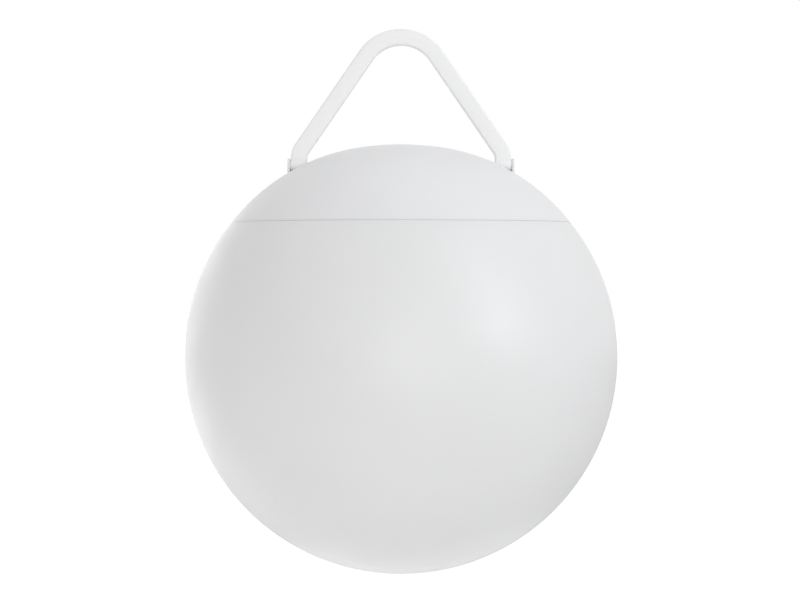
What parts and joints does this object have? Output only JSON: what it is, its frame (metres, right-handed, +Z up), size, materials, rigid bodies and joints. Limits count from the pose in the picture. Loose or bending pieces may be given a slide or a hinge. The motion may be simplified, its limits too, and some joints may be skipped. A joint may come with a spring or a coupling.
{
  "type": "hanging globe light",
  "caption": "Cordless hanging globe light: opal globe, twist-off opal cover with solar electrics inside, and a swinging strap handle.",
  "frame": {"origin": "under the crown of the handle's bend, where a hook or nail carries the light", "axes": "+Z up along the globe's axis; +X along the handle's width, parallel to the pivot pins; +Y across the strap"},
  "size_m": [0.3, 0.3, 0.3776],
  "materials": {
    "opal_globe": "opal polyethylene, satin",
    "opal_cover": "opal polyethylene, satin",
    "handle_plastic": "white moulded polypropylene, satin",
    "pin_steel": "plain steel",
    "seal_rubber": "white silicone rubber",
    "module_plastic": "white moulded plastic, fine texture",
    "screw_steel": "zinc-plated steel",
    "pad_foam": "black foam tape",
    "panel_board": "dark laminate",
    "cell_silicon": "dark blue silicon strips",
    "clear_resin": "clear cast resin",
    "board_laminate": "green solder mask",
    "chip_black": "black moulded case",
    "coil_ferrite": "ferrite drum with its winding",
    "can_aluminium": "drawn can",
    "led_phosphor": "yellow phosphor in a white case",
    "frosted_lens": "frosted plastic",
    "cell_jacket": "plain printed jacket, no text",
    "contact_steel": "nickel-plated spring steel",
    "switch_plastic": "black moulded plastic",
    "lead_jacket": "insulated wire"
  },
  "bodies": {
    "handle": {"carry_handle": "handle_plastic"},
    "cover": {"top_cover": "opal_cover", "pivot_pins": "pin_steel", "cover_seal": "seal_rubber", "module_housing": "module_plastic", "module_lid": "module_plastic", "module_seal": "seal_rubber", "module_screws": "screw_steel", "lid_screws": "screw_steel", "board_screws": "screw_steel", "solar_pad": "pad_foam", "solar_board": "panel_board", "solar_cells": "cell_silicon", "solar_resin": "clear_resin", "circuit_board": "board_laminate", "control_chip": "chip_black", "charge_coil": "coil_ferrite", "buffer_capacitor": "can_aluminium", "leds": "led_phosphor", "led_lens": "frosted_lens", "battery_cell": "cell_jacket", "plus_contact": "contact_steel", "minus_contact": "contact_steel", "switch_body": "switch_plastic", "solar_leads": "lead_jacket", "battery_leads": "lead_jacket"},
    "globe": {"globe_shell": "opal_globe"},
    "door": {"battery_door": "module_plastic"},
    "knob": {"switch_knob": "switch_plastic"}
  },
  "joints": [
    {"name": "handle_swing", "type": "hinge", "parent": "handle", "child": "cover", "pos_m": [0, 0, -0.0832], "axis": [1, 0, 0], "range_deg": [-45, 45]},
    {"name": "globe_twist", "type": "hinge", "parent": "cover", "child": "globe", "pos_m": [0, 0, -0.21631], "axis": [0, 0, 1], "range_deg": [0, 24]},
    {"name": "battery_door_swing", "type": "hinge", "parent": "cover", "child": "door", "pos_m": [0.0303, -0.026, -0.11031], "axis": [0, -1, 0], "range_deg": [0, 90]},
    {"name": "switch_slide", "type": "slide", "parent": "cover", "child": "knob", "axis": [1, 0, 0], "range_m": [0, 0.003]}
  ]
}
